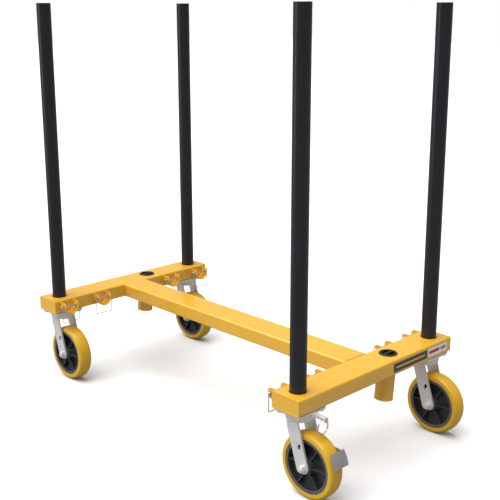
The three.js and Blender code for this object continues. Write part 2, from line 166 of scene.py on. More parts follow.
def pattern(group, entry, detail, rough=0.55):
    """Noise in the object's own space, at the group's Scale."""
    place = group.nodes.new("ShaderNodeTexCoord")
    noise = group.nodes.new("ShaderNodeTexNoise")
    noise.inputs["Detail"].default_value = detail
    noise.inputs["Roughness"].default_value = rough
    group.links.new(place.outputs["Object"], noise.inputs["Vector"])
    group.links.new(entry.outputs["Scale"], noise.inputs["Scale"])
    return noise.outputs["Fac"]


def spread(group, value, low, high, to_low, to_high):
    """Maps a value from one range onto another; ends may be numbers or sockets."""
    node = group.nodes.new("ShaderNodeMapRange")
    group.links.new(value, node.inputs["Value"])
    ends = zip(("From Min", "From Max", "To Min", "To Max"), (low, high, to_low, to_high))
    for label, end in ends:
        if isinstance(end, (int, float)):
            node.inputs[label].default_value = end
        else:
            group.links.new(end, node.inputs[label])
    return node.outputs["Result"]


# A slow drift between two colours
tone_drift, entry, exit_ = effect(
    "tone_drift",
    [("Color A", COLOR, (0.5, 0.5, 0.5, 1)), ("Color B", COLOR, (0.5, 0.5, 0.5, 1)),
     ("Scale", FLOAT, 6.0)],
    [("Color", COLOR)],
)
mix = tone_drift.nodes.new("ShaderNodeMix")
mix.data_type = "RGBA"
drift = spread(tone_drift, pattern(tone_drift, entry, 3), 0.32, 0.68, 0, 1)
tone_drift.links.new(drift, mix.inputs["Factor"])
tone_drift.links.new(entry.outputs["Color A"], mix.inputs["A"])
tone_drift.links.new(entry.outputs["Color B"], mix.inputs["B"])
tone_drift.links.new(mix.outputs["Result"], exit_.inputs["Color"])

# A fine variation of gloss
gloss_grain, entry, exit_ = effect(
    "gloss_grain",
    [("Low", FLOAT, 0.3), ("High", FLOAT, 0.4), ("Scale", FLOAT, 60.0)],
    [("Value", FLOAT)],
)
grain = spread(
    gloss_grain, pattern(gloss_grain, entry, 6, 0.65), 0.3, 0.7,
    entry.outputs["Low"], entry.outputs["High"],
)
gloss_grain.links.new(grain, exit_.inputs["Value"])

# A small relief, as a normal
relief, entry, exit_ = effect(
    "relief",
    [("Scale", FLOAT, 400.0), ("Strength", FLOAT, 0.1), ("Depth", FLOAT, 0.0001)],
    [("Normal", VECTOR)],
)
bump = relief.nodes.new("ShaderNodeBump")
relief.links.new(entry.outputs["Strength"], bump.inputs["Strength"])
relief.links.new(entry.outputs["Depth"], bump.inputs["Distance"])
relief.links.new(pattern(relief, entry, 2, 0.4), bump.inputs["Height"])
relief.links.new(bump.outputs["Normal"], exit_.inputs["Normal"])

print("shared effects:", [g.name for g in bpy.data.node_groups])

# %% [markdown]
# A finish is then a Principled shader with the shared effects placed around it. What is the
# same all over, such as the clear gloss of the powder coat, is a number on the shader itself.

# %% Finish helper
finishes = {}


def finish_of(name, tones, gloss, peel=None, drift_scale=6.0, grain_scale=60.0, **constants):
    """tones: two colours; gloss: lowest and highest roughness; peel: relief scale, strength,
    depth; the rest are plain sockets of the shader."""
    material = bpy.data.materials.new(name)
    material.use_nodes = True
    tree = material.node_tree
    shader = tree.nodes["Principled BSDF"]

    def placed(group, **values):
        node = tree.nodes.new("ShaderNodeGroup")
        node.node_tree = group
        for label, value in values.items():
            node.inputs[label.replace("_", " ")].default_value = value
        return node

    colour = placed(tone_drift, Color_A=(*tones[0], 1), Color_B=(*tones[1], 1), Scale=drift_scale)
    tree.links.new(colour.outputs["Color"], shader.inputs["Base Color"])
    rough = placed(gloss_grain, Low=gloss[0], High=gloss[1], Scale=grain_scale)
    tree.links.new(rough.outputs["Value"], shader.inputs["Roughness"])
    if peel:
        skin = placed(relief, Scale=peel[0], Strength=peel[1], Depth=peel[2] * mm)
        tree.links.new(skin.outputs["Normal"], shader.inputs["Normal"])
    for label, value in constants.items():
        shader.inputs[label.replace("_", " ")].default_value = value
    finishes[name] = material
    return material


print("each finish places", ", ".join(g.name for g in bpy.data.node_groups))


# %% [markdown]
# The chassis is powder coated a warm yellow under a clear, mirror-like skin, so its shader has
# a coat layer. The posts are coated satin black, and the plugs are a duller moulded plastic
# with a fine grain.

# %% Powder coats and plastics
yellow_coat = finish_of(
    "yellow_powder_coat", [(0.90, 0.490, 0.034), (0.87, 0.465, 0.030)], (0.26, 0.32),
    peel=(300, 0.04, 0.03), drift_scale=5, Coat_Weight=0.6, Coat_Roughness=0.05,
)
black_coat = finish_of(
    "black_powder_coat", [(0.0085, 0.0080, 0.0130), (0.0115, 0.011, 0.0165)], (0.28, 0.34),
    peel=(500, 0.06, 0.03), drift_scale=9, Specular_IOR_Level=0.42,
)
black_plastic = finish_of(
    "black_plastic", [(0.012, 0.012, 0.014), (0.017, 0.017, 0.019)], (0.36, 0.46),
    peel=(1400, 0.15, 0.05), drift_scale=25,
)
print("coatings:", ", ".join(finishes))

# %% [markdown]
# The casters are zinc plated to a pale, hazy skin that reflects little more than light and
# dark, so it is only part metal. The pins and wires are bright plate and wholly metal, and
# the brake's pedal is a dull one that has been trodden on.

# %% Metals
bright_zinc = finish_of(
    "bright_zinc_plate", [(0.82, 0.80, 0.785), (0.72, 0.71, 0.70)], (0.42, 0.54),
    peel=(260, 0.04, 0.04), drift_scale=22, grain_scale=90, Metallic=0.35,
)
pin_zinc = finish_of(
    "pin_zinc_plate", [(0.72, 0.72, 0.72), (0.60, 0.60, 0.62)], (0.20, 0.34),
    drift_scale=40, grain_scale=160, Metallic=1.0,
)
dull_steel = finish_of(
    "dull_plated_steel", [(0.50, 0.495, 0.48), (0.41, 0.41, 0.40)], (0.36, 0.50),
    peel=(300, 0.06, 0.05), drift_scale=30, grain_scale=120, Metallic=0.7,
)
print("metals are added:", len(finishes), "finishes")

# %% [markdown]
# The tread is yellow polyurethane, a little darker than the chassis and without a clear coat.
# The wheel's centre is a dark casting whose colour also holds painted shade of its recesses,
# and its turned rim is a lighter grey. The floor is white to look at but sends little light
# back up, as in a large dark studio, so that the undersides of the beams stay dark.

# %% Wheels and floor
tread = finish_of(
    "yellow_polyurethane", [(0.80, 0.460, 0.024), (0.76, 0.43, 0.021)], (0.30, 0.40),
    peel=(700, 0.10, 0.05), drift_scale=14, Specular_IOR_Level=0.45,
)
rim_grey = finish_of(
    "wheel_rim_grey", [(0.105, 0.105, 0.130), (0.085, 0.085, 0.105)], (0.36, 0.48),
    peel=(800, 0.12, 0.06), drift_scale=30,
)
# The casting is darker than the turned rim partly by its own grey and partly by painted shade of
# the recesses between its ribs.
casting_with_painted_shade = finish_of(
    "wheel_casting_dark", [(0.040, 0.040, 0.046), (0.030, 0.030, 0.034)], (0.42, 0.56),
    peel=(500, 0.25, 0.12), drift_scale=40,
)
floor_paper = finish_of(
    "studio_floor_paper", [(0.95, 0.95, 0.95), (0.94, 0.94, 0.94)], (0.88, 0.95),
    drift_scale=0.4, Specular_IOR_Level=0.1,
)
tree = floor_paper.node_tree
dim = tree.nodes.new("ShaderNodeBsdfDiffuse")
dim.inputs["Color"].default_value = (0.32, 0.32, 0.32, 1)
split_by_ray(tree, dim.outputs["BSDF"], tree.nodes["Principled BSDF"].outputs["BSDF"],
             tree.nodes["Material Output"].inputs["Surface"])
floor.data.materials.append(floor_paper)
print("wheels and floor are added:", len(finishes), "finishes")

# %% [markdown]
# ## Drawing tools
#
# Most parts here are sheet, tube or turned work: an outline that is pushed out, or a profile
# that is spun. Both start from one vertex that is extruded point by point, as one would click
# it in edit mode. Holes and windows are cut with the Boolean modifier, edges are broken with
# the Bevel modifier, and both are applied, so that what is left is plain mesh.

# %% Drawing tools
def pick(*objects):
    """Selects these objects alone; the last one is active."""
    for other in list(bpy.context.selected_objects):
        other.select_set(False)
    for piece in objects:
        piece.select_set(True)
        bpy.context.view_layer.objects.active = piece


def draw(points, closed=False):
    """One vertex, extruded along the points. The object is left in edit mode."""
    pick()
    bpy.ops.mesh.primitive_plane_add(size=0.001, location=(0, 0, 0))
    bpy.ops.object.mode_set(mode="EDIT")
    bpy.ops.mesh.select_mode(type="VERT")
    bpy.ops.mesh.select_all(action="SELECT")
    bpy.ops.mesh.merge(type="CENTER")
    bpy.ops.transform.translate(value=Vector(points[0]))
    for before, after in zip(points, points[1:]):
        step = Vector(after) - Vector(before)
        bpy.ops.mesh.extrude_vertices_move(TRANSFORM_OT_translate={"value": step})
    if closed:
        bpy.ops.mesh.select_all(action="SELECT")
        bpy.ops.mesh.edge_face_add()
    return bpy.context.object


def tidy_normals():
    """In edit mode, merges doubles and turns every face outwards. It ends in object mode."""
    bpy.ops.mesh.select_all(action="SELECT")
    bpy.ops.mesh.remove_doubles(threshold=0.001 * mm)
    bpy.ops.mesh.normals_make_consistent(inside=False)
    bpy.ops.object.mode_set(mode="OBJECT")


def push(outline, along):
    """A closed outline, pushed out into a solid."""
    solid = draw(outline, closed=True)
    bpy.ops.mesh.extrude_region_move(TRANSFORM_OT_translate={"value": Vector(along)})
    tidy_normals()
    return solid


def spin(profile, axis, centre, sides):
    """A profile of (radius, height) points turned about an axis through centre."""
    place = Vector(centre)
    lay, turn_axis = {
        "x": (lambda r, h: Vector((h, 0, r)), (1, 0, 0)),
        "y": (lambda r, h: Vector((0, h, r)), (0, 1, 0)),
        "z": (lambda r, h: Vector((r, 0, h)), (0, 0, 1)),
    }[axis]
    solid = draw([place + lay(r, h) for r, h in profile])
    bpy.ops.mesh.select_all(action="SELECT")
    bpy.ops.mesh.spin(steps=sides, angle=2 * math.pi, center=place, axis=turn_axis)
    tidy_normals()
    return solid


def apply_modifier(piece, kind, **settings):
    """Adds a modifier with these settings and applies it at once."""
    pick(piece)
    modifier = piece.modifiers.new(kind.title(), kind)
    for label, value in settings.items():
        setattr(modifier, label, value)
    bpy.ops.object.modifier_apply(modifier=modifier.name)
    return piece


def carve(piece, *others, how="DIFFERENCE"):
    """Cuts, joins or intersects a piece with others, which are used up."""
    for other in others:
        apply_modifier(piece, "BOOLEAN", operation=how, object=other, solver="EXACT")
        bpy.data.objects.remove(other)
    return piece


def break_edges(piece, width, segments, angle):
    """Bevels the edges that are sharper than this angle in degrees."""
    return apply_modifier(
        piece, "BEVEL", width=width, segments=segments, limit_method="ANGLE",
        angle_limit=math.radians(angle), use_clamp_overlap=True, miter_outer="MITER_ARC",
    )


def weld(*pieces):
    """Several pieces that belong together become one object, named by the first."""
    pick(*reversed(pieces))
    bpy.ops.object.join()
    return bpy.context.object


def copied(piece, move, turn=0.0, mirror_x=False):
    """A copy with its own mesh, turned about Z and moved, left at the origin."""
    pick(piece)
    bpy.ops.object.duplicate()
    twin = bpy.context.object
    twin.rotation_euler.z = turn
    twin.scale.x = -1 if mirror_x else 1
    twin.location = move
    bpy.ops.object.transform_apply(location=True, rotation=True, scale=True)
    if mirror_x:
        bpy.ops.object.mode_set(mode="EDIT")
        tidy_normals()
    return twin


def finished(piece, name, finish, body, slot, *nodes, smooth=35):
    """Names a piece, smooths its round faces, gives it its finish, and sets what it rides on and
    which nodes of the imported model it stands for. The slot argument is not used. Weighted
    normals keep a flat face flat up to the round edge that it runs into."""
    piece.name = name
    piece.data.name = name
    pick(piece)
    bpy.ops.object.transform_apply(location=True, rotation=True, scale=True)
    bpy.ops.object.shade_smooth_by_angle(angle=math.radians(smooth))
    apply_modifier(piece, "WEIGHTED_NORMAL", keep_sharp=True)
    if finish:
        piece.data.materials.clear()
        piece.data.materials.append(finish)
    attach(piece, body)
    if nodes:
        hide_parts(*nodes)
    return piece


def arc(centre, radius, start, end, count):
    """Points on an arc, in degrees, both ends included."""
    return [
        (centre[0] + radius * math.cos(math.radians(start + (end - start) * i / count)),
         centre[1] + radius * math.sin(math.radians(start + (end - start) * i / count)))
        for i in range(count + 1)
    ]


def rounded(half_width, half_height, corner, centre=(0, 0), count=6):
    """A rounded rectangle's outline, as (across, up) pairs."""
    w, h = half_width - corner, half_height - corner
    x, y = centre
    return (
        arc((x + w, y + h), corner, 0, 90, count) + arc((x - w, y + h), corner, 90, 180, count)
        + arc((x - w, y - h), corner, 180, 270, count)
        + arc((x + w, y - h), corner, 270, 360, count)
    )


def faces_where(piece, test):
    """In edit mode, selects the faces whose centre and normal pass the test."""
    bpy.ops.mesh.select_mode(type="FACE")
    bpy.ops.mesh.select_all(action="DESELECT")
    bpy.ops.object.mode_set(mode="OBJECT")
    for face in piece.data.polygons:
        face.select = test(face.center, face.normal)
    bpy.ops.object.mode_set(mode="EDIT")


print("drawing tools are ready")

# %% [markdown]
# ## Places
#
# Everything repeats: two cross-beams, four corners, eight brackets. Each kind is drawn once at
# its first place, and copied to the others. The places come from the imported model's boxes.

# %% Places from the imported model
def middle(node):
    low, high_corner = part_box(node)
    return (low + high_corner) / 2


SIDES, ENDS = ("left", "right"), ("front", "back")
beam_x = {side: middle(f"cross_beam_{side}").x for side in SIDES}
left_x = beam_x["left"]
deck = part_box("cross_beam_left")[1].z
post_y = {end: middle(f"post_left_{end}").y for end in ENDS}
caster_y = {end: middle(f"caster_plate_left_{end}").y for end in ENDS}
bracket_y = [middle(f"bracket_left_{i}").y for i in (1, 2, 3, 4)]
plug_y = middle("socket_plug_left").y
half_beam, half_height = 52.5 * mm, 25.4 * mm
belly, axis_z = deck - 50.8 * mm, deck - half_height
print("deck at", round(deck, 4), "beams at", {k: round(v, 4) for k, v in beam_x.items()})

# %% [markdown]
# ## Cross-beams
#
# Each cross-beam is a cold-formed rectangular tube, 105 by 51 mm, so its corners are round
# inside and out. Pipe sockets are let into its top: two short ones for the posts, and a
# spare one that runs through, stands far out below and is raked six degrees. Where a pipe is
# welded in, the joint is ground flush and leaves a fine ring. It could be built from planes
# and a Solidify modifier, but an outline pushed to length, with pipes joined and bored by
# Booleans, follows how it is made and keeps the real wall everywhere. The pipes stop inside
# the tube's top wall, so that no two faces lie in one plane where they are joined.

# %% Cross-beams
# Half width, half height and corner radius: outside, and inside the wall
wall = 4.8 * mm
TUBE = (half_beam, half_height, 6 * mm)
INNER = (47.7 * mm, 20.6 * mm, 1.2 * mm)


def square_tube(at_start, along):
    """A rectangular tube with its real wall; at_start places the outline's (across, up)."""
    along = Vector(along)
    spare = along.normalized() * 2 * mm  # the core sticks out of both ends
    outer = push([at_start(a, b) for a, b in rounded(*TUBE)], along)
    core = push([at_start(a, b) - spare for a, b in rounded(*INNER, count=3)], along + 2 * spare)
    return carve(outer, core)


cut_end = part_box("cross_beam_left")[1].y
cross_beam = square_tube(
    lambda a, b: Vector((left_x + a, -cut_end, axis_z + b)), (0, 2 * cut_end, 0))
pipe_radius, bore_radius = 30.15 * mm, 26.25 * mm


def pipe(y, radius, low, high_end, lean=0):
    """A rod at y whose ends are measured from the deck, leaning about its mouth."""
    rod = spin([(0, low), (radius, low), (radius, high_end), (0, high_end)], "z",
               (0, 0, 0), 64)
    rod.rotation_euler.x = -math.radians(lean)
    rod.location = (left_x, y, deck)
    pick(rod)
    bpy.ops.object.transform_apply(location=True, rotation=True, scale=True)
    return rod


rake = 6
blind = belly + wall - deck
in_top_wall = -2 * mm
raked = pipe(plug_y, pipe_radius, -150 * mm, 10 * mm, rake)
under = push([(left_x + a, -0.3, deck + b) for a, b in
              [(-0.1, -0.3), (0.1, -0.3), (0.1, in_top_wall), (-0.1, in_top_wall)]],
             (0, 0.6, 0))
carve(cross_beam, carve(raked, under, how="INTERSECT"), how="UNION")
for y in post_y.values():
    carve(cross_beam, pipe(y, pipe_radius, blind - 3.8 * mm, in_top_wall), how="UNION")
weld_ring = [(29.2, 1), (32.0, 1), (30.9, -1.1), (30.3, -1.1), (29.2, 1)]
for y in (*post_y.values(), plug_y):
    carve(cross_beam, spin([(r * mm, deck + h * mm) for r, h in weld_ring], "z",
                           (left_x, y, 0), 64))
carve(cross_beam, *(pipe(y, bore_radius, blind, 1 * mm) for y in post_y.values()),
      pipe(plug_y, bore_radius, -152 * mm, 20 * mm, rake))
print("cross-beam faces:", len(cross_beam.data.polygons))

# %% [markdown]
# The pipes' mouths get a small broken edge. A bevel limited by angle finds the mouths, the
# tube's cut ends and the spare socket's foot, and leaves the long round corners alone. The
# walls of the weld rings slope less than its limit, so they stay sharp.

# %% Cross-beam edges and copies
break_edges(cross_beam, 0.5 * mm, 2, 70)
for side in reversed(SIDES):
    beam = cross_beam if side == "left" else copied(cross_beam, (beam_x[side] - left_x, 0, 0))
    finished(beam, f"{side}_cross_beam", yellow_coat, "chassis", "yellow_powder_coat",
             f"cross_beam_{side}")
print("two cross-beams,", round(2 * cut_end, 3), "m long")

# %% [markdown]
# ## End caps
#
# A 5 mm plate closes each tube end. Its rim is dressed round after welding, and its middle
# sits a hair deeper than the ground weld round it, which shows as a fine line near the edge.
# The plate is an outline pushed out, and the line is an inset face that is pushed back.

# %% End caps
outer_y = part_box("end_cap_left_front")[0].y
cap = push([(left_x + a, outer_y, axis_z + b) for a, b in rounded(*TUBE)], (0, 5 * mm, 0))
bpy.ops.object.mode_set(mode="EDIT")
faces_where(cap, lambda c, n: n.y < -0.9)
bpy.ops.mesh.inset(thickness=4.4 * mm)
bpy.ops.mesh.extrude_region_move(TRANSFORM_OT_translate={"value": (0, 0.5 * mm, 0)})
bpy.ops.mesh.select_all(action="SELECT")
bpy.ops.mesh.normals_make_consistent(inside=False)
bpy.ops.object.mode_set(mode="OBJECT")
break_edges(cap, 0.35 * mm, 2, 50)
for side in reversed(SIDES):
    for end in reversed(ENDS):
        turned = math.pi if end == "back" else 0
        shift = (beam_x[side] + (left_x if turned else -left_x), 0, 0)
        last = side == "left" and end == "front"
        piece = cap if last else copied(cap, shift, turned)
        finished(piece, f"{side}_{end}_end_cap", yellow_coat, "chassis", "yellow_powder_coat",
                 f"end_cap_{side}_{end}")
print("four end caps")

# %% [markdown]
# ## Main beam
#
# The same tube, turned across, joins the two cross-beams. Each end carries a fillet weld down
# both of its sides: a row of small overlapping ripples. A ripple is a squashed sphere, and
# the row is one ripple copied with an Array modifier.

# %% Weld bead helper
def bead(start_point, step, count, size):
    """A row of flattened, overlapping ripples."""
    pick()
    bpy.ops.mesh.primitive_uv_sphere_add(segments=8, ring_count=6, radius=1, location=(0, 0, 0))
    row = bpy.context.object
    bpy.ops.transform.resize(value=size)
    bpy.ops.transform.translate(value=start_point)
    bpy.ops.object.transform_apply(location=True, rotation=True, scale=True)
    return apply_modifier(
        row, "ARRAY", count=count, use_relative_offset=False, use_constant_offset=True,
        constant_offset_displace=step,
    )


print("a weld bead is a row of ripples")

# %% Main beam
left_end, right_end = (corner.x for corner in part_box("main_beam"))
span = right_end - left_end
main_beam = square_tube(lambda a, b: Vector((left_end, a, axis_z + b)), (span, 0, 0))
break_edges(main_beam, 0.4 * mm, 2, 50)
beads = []
for end_x, lean in ((left_end, 1), (right_end, -1)):
    for hand in (-1, 1):
        beads.append(bead(
            (end_x + lean * 1.2 * mm, hand * 53.4 * mm, axis_z - 20 * mm),
            (0, 0, 2.5 * mm), 17, (1.8 * mm, 1.8 * mm, 2.2 * mm)))
main_beam = weld(main_beam, *beads)
finished(main_beam, "long_beam", yellow_coat, "chassis", "yellow_powder_coat", "main_beam")
print("main beam:", round(span, 3), "m")

# %% [markdown]
# ## Brackets
#
# A bracket is a strap of 3 mm steel bent into a U that fits under a laid-down post, welded by
# its edges to the beam's face. Its legs have rounded outer corners and a hole for the pin.
# The U is drawn as one closed line with both of its arcs and pushed out from the face; a
# second shape, pushed across it, leaves only what lies inside the legs' side view.

# %% Brackets
face_x = left_x + half_beam
first_y = bracket_y[0]
low_corner, high_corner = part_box("bracket_left_1")
low_z, top_z = low_corner.z, high_corner.z
reach = high_corner.x - face_x
inner_r, outer_r = 25.4 * mm, 28.6 * mm
pin_z, pin_out = deck - 21 * mm, 23.5 * mm
bowl = low_z + outer_r


def strap_line():
    outside = [(-outer_r, top_z)] + arc((0, bowl), outer_r, 180, 360, 40)
    inside = [(outer_r, top_z), (inner_r, top_z)] + arc((0, bowl), inner_r, 0, -180, 40)
    return [(first_y + a, b) for a, b in outside + inside + [(-inner_r, top_z)]]


strap = push([(face_x + 0.3 * mm, a, b) for a, b in strap_line()], (reach - 0.3 * mm, 0, 0))
corner_r = 12 * mm
view = [(face_x - 1 * mm, low_z - 1 * mm), (face_x + reach + 1 * mm, low_z - 1 * mm)]
view += [(face_x + reach + 1 * mm, top_z - corner_r)]
view += arc((face_x + reach - corner_r, top_z - corner_r), corner_r, 0, 90, 12)
view += [(face_x - 1 * mm, top_z)]
window = push([(a, first_y - 0.04, b) for a, b in view], (0, 0.08, 0))
carve(strap, window, how="INTERSECT")
hole = spin([(0, -0.04), (5.15 * mm, -0.04), (5.15 * mm, 0.04), (0, 0.04)], "y",
            (face_x + pin_out, first_y, pin_z), 32)
carve(strap, hole)
break_edges(strap, 0.45 * mm, 2, 40)
beads = [
    bead((face_x + 1.6 * mm, first_y + hand * (outer_r + 0.5 * mm), bowl - 8 * mm),
         (0, 0, 2.3 * mm), 11, (1.3 * mm, 1.4 * mm, 1.9 * mm))
    for hand in (-1, 1)
]
strap = weld(strap, *beads)
print("bracket faces:", len(strap.data.polygons))

# %% [markdown]
# The other seven brackets are copies of this one, and so are their pins and wires. The right
# cross-beam's brackets face inwards too, so they and the wires are mirrored. A pin is only
# moved there, because its mirror image is the same.

# %% Place the brackets
def at_brackets(first, name, finish, body, slot, node, mirror=False):
    """Copies a piece of the first left bracket to all eight, mirrored or just moved."""
    for side in reversed(SIDES):
        for i in (4, 3, 2, 1):
            move = Vector((0, bracket_y[i - 1] - first_y, 0))
            if side == "right" and mirror:
                move.x = left_x + beam_x["right"]
            elif side == "right":
                move.x = beam_x["right"] - left_x - 2 * (half_beam + pin_out)
            last = (side, i) == ("left", 1)
            piece = first if last else copied(first, move, mirror_x=mirror and side == "right")
            finished(piece, f"{side}_{name}_{i}", finish, body.format(side=side, i=i), slot,
                     f"{node}_{side}_{i}")


at_brackets(strap, "bracket", yellow_coat, "chassis", "yellow_powder_coat", "bracket", True)
print("eight brackets, reach", round(reach / mm, 1), "mm")

# %% [markdown]
# ## Pins and wire locks
#
# A pin is a turned zinc-plated shank with a flat, cross-drilled tab for a head. Through the
# tab goes a square loop of spring wire, which hangs down round the bracket and closes behind
# the pin's tip, so the pin can't fall out. The shank is spun and the tab pushed out. The wire
# is a line with rounded bends that is turned into a curve with a round section, and back into
# mesh: that gives true bends, which joined rods would not.

# %% Pins
pin_x = face_x + pin_out
head_y = first_y - outer_r - 0.5 * mm - 5.5 * mm
tip = 31.1
profile = [(0, -30.1), (4.75, -30.1), (4.75, 26.4), (4.45, 26.7), (4.45, 27.6), (4.75, 27.9),
           (4.75, tip - 1.4), (4.3, tip - 0.5), (3.4, tip), (0, tip)]
shank = spin([(r * mm, h * mm) for r, h in profile], "y", (pin_x, first_y, pin_z), 32)
tab = push([(pin_x - 3 * mm, a, b) for a, b in
            rounded(5.5 * mm, 6.3 * mm, 3.4 * mm, (head_y, pin_z), 8)], (6 * mm, 0, 0))
cross = spin([(0, -0.01), (1.8 * mm, -0.01), (1.8 * mm, 0.01), (0, 0.01)], "x",
             (pin_x, head_y, pin_z), 24)
carve(tab, cross)
break_edges(tab, 0.6 * mm, 3, 40)
pin = weld(shank, tab)
at_brackets(pin, "lock_pin", pin_zinc, "pin_{side}_{i}", "zinc_plated_steel", "lock_pin")
print("eight lock pins")


# %% Wire locks
def bent(points, radius, count=6):
    """Corners of a line replaced by arcs of this radius."""
    line = [Vector(points[0])]
    for before, corner, after in zip(points, points[1:], points[2:]):
        before, corner, after = Vector(before), Vector(corner), Vector(after)
        a, b = (before - corner).normalized(), (after - corner).normalized()
        half = a.angle(b) / 2
        middle_way = (a + b).normalized()
        hub = corner + middle_way * (radius / math.sin(half))
        first = (corner + a * (radius / math.tan(half)) - hub).normalized()
        last = (corner + b * (radius / math.tan(half)) - hub).normalized()
        for i in range(count + 1):
            line.append(hub + first.slerp(last, i / count) * radius)
    return line + [Vector(points[-1])]


def wire(points, radius, fineness):
    """A line given a round section of 4 + 2 * fineness flats."""
    piece = draw(points)
    bpy.ops.object.mode_set(mode="OBJECT")
    pick(piece)
    bpy.ops.object.convert(target="CURVE")
    curve = bpy.context.object
    curve.data.bevel_depth = radius
    curve.data.bevel_resolution = fineness
    curve.data.use_fill_caps = True
    bpy.ops.object.convert(target="MESH")
    bpy.ops.object.mode_set(mode="EDIT")
    tidy_normals()
    return bpy.context.object


out_x, hang = pin_x + 4.8 * mm, pin_z - 59 * mm
close_y = first_y + 34.5 * mm
loop = bent([
    (pin_x - 4.6 * mm, head_y, pin_z), (out_x, head_y, pin_z), (out_x, head_y, hang),
    (out_x, close_y, hang), (out_x, close_y, pin_z), (pin_x - 1.2 * mm, close_y, pin_z),
], 2.6 * mm)
wire_loop = wire(loop, 1.4 * mm, 3)
at_brackets(wire_loop, "wire_lock", pin_zinc, "wire_{side}_{i}", "zinc_plated_steel",
            "wire_lock", True)
print("eight wire locks")

# %% [markdown]
# ## Posts
#
# A post is a length of 50 mm tube, black all over, that drops into its socket. Both mouths
# are broken so that they don't cut hands. A spun profile makes tube, wall and mouths at once.

# %% Posts
foot_z, tip_z = (c.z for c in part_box("post_left_front"))
foot = [(22.4, 0), (24.5, 0), (25, 0.5)]
mouth = [(25, -0.8), (24.4, -0.15), (23.6, 0), (22.4, 0), (22, -0.4)]
profile = [(r * mm, foot_z + h * mm) for r, h in foot]
profile += [(r * mm, tip_z + h * mm) for r, h in mouth]
profile += [(22 * mm, foot_z + 0.4 * mm), profile[0]]
post = spin(profile, "z", (left_x, post_y["front"], 0), 72)
for side in reversed(SIDES):
    for end in reversed(ENDS):
        last = side == "left" and end == "front"
        move = (beam_x[side] - left_x, post_y[end] - post_y["front"], 0)
        piece = post if last else copied(post, move)
        finished(piece, f"{side}_{end}_post", black_coat, f"post_{side}_{end}",
                 "black_powder_coat", f"post_{side}_{end}")
print("posts stand", round(tip_z - deck, 3), "m above the deck")

# %% [markdown]
# ## Socket plugs
#
# A moulded plug closes each spare socket. Its rim laps over the pipe, its body is short and
# slim enough to drop straight into the raked bore, and a bar across two D-shaped pockets
# gives the fingers a hold. The body is spun, the pockets are a round cutter that is itself
# cut through by the bar, and a bevel rounds the moulded edges.

# %% Socket plugs
rim_z = deck + 0.3 * mm
profile = [(0, -18), (23.1, -18), (23.85, -17.2), (23.85, 0), (29.6, 0), (29.85, 0.3),
           (29.85, 1.6), (28.9, 2.7), (27.6, 3), (0, 3)]
plug = spin([(r * mm, rim_z + h * mm) for r, h in profile], "z", (left_x, plug_y, 0), 64)
pocket_z = rim_z - 15.4 * mm
pocket = spin([(0, pocket_z), (20.6 * mm, pocket_z), (21.2 * mm, rim_z + 5 * mm),
               (0, rim_z + 5 * mm)], "z", (left_x, plug_y, 0), 64)
half_bar = 4.5 * mm
bar = push([(left_x + a, plug_y - 0.03, rim_z - 30 * mm + b) for a, b in
            [(-half_bar, 0), (half_bar, 0), (half_bar, 0.04), (-half_bar, 0.04)]],
           (0, 0.06, 0))
carve(pocket, bar)
carve(plug, pocket)
break_edges(plug, 0.5 * mm, 3, 50)
other = copied(plug, (beam_x["right"] - left_x, 0, 0))
for side, piece in zip(SIDES, (plug, other)):
    finished(piece, f"{side}_socket_plug", black_plastic, f"plug_{side}", "black_plastic",
             f"socket_plug_{side}")
print("two plugs")

# %% [markdown]
# ## Casters
#
# The four casters are alike. Each is drawn about its own swivel axis under the right front
# corner, the one with the brake, and copied to the other three. The wheel trails towards +X.
#
# The top plate is 8 mm steel with rounded corners, held to the beam by four hexagon bolts from
# below. In its middle a king pin carries the ball race. Plate and race are an outline pushed
# out and a spun profile; a bolt head is a hexagon whose corners are turned away, made by
# keeping what it shares with a spun cone, as the real one is chamfered on a lathe.

# %% Caster helpers
swivel = Vector((beam_x["right"], caster_y["front"], 0))
axle_at = swivel + Vector((47 * mm, 0, 101.6 * mm))


def lathe(points, axis, centre, sides=48):
    """A spun profile given in millimetres."""
    return spin([(r * mm, h * mm) for r, h in points], axis, centre, sides)


def hexagon(across, low, high_end, axis, centre, chamfer, turned_ends):
    """A hexagon bar along z or y in mm, its corners turned away at the low, high or both ends."""
    corner = across / 2 / math.cos(math.pi / 6)
    ring = [(corner * math.cos(k * math.pi / 3), corner * math.sin(k * math.pi / 3))
            for k in range(6)]
    place = Vector(centre)
    if axis == "z":
        outline = [place + Vector((a, b, low)) * mm for a, b in ring]
        along = (0, 0, (high_end - low) * mm)
    else:
        outline = [place + Vector((a, low, b)) * mm for a, b in ring]
        along = (0, (high_end - low) * mm, 0)
    bar = push(outline, along)
    flat, clear = across / 2 * 0.96, corner + 0.3
    near, far = [(clear, low)], [(clear, high_end)]
    if turned_ends != "high":
        near = [(flat, low), (clear, low + chamfer)]
    if turned_ends != "low":
        far = [(clear, high_end - chamfer), (flat, high_end)]
    turned_bar = lathe([(0, low)] + near + far + [(0, high_end)], axis, centre)
    return carve(bar, turned_bar, how="INTERSECT")


def at_casters(first, name, finish, body, slot, *nodes, smooth=35):
    """Copies a piece of the right front caster to the other three corners."""
    for side in SIDES:
        for end in reversed(ENDS):
            move = (beam_x[side] - swivel.x, caster_y[end] - swivel.y, 0)
            last = side == "right" and end == "front"
            piece = first if last else copied(first, move)
            where = f"{side}_{end}"
            finished(piece, f"{where}_{name}", finish, body.format(where=where), slot,
                     *(f"{node}_{where}" for node in nodes), smooth=smooth)


print("first swivel at", [round(v, 4) for v in swivel], "axle", round(axle_at.z / mm, 1), "mm up")

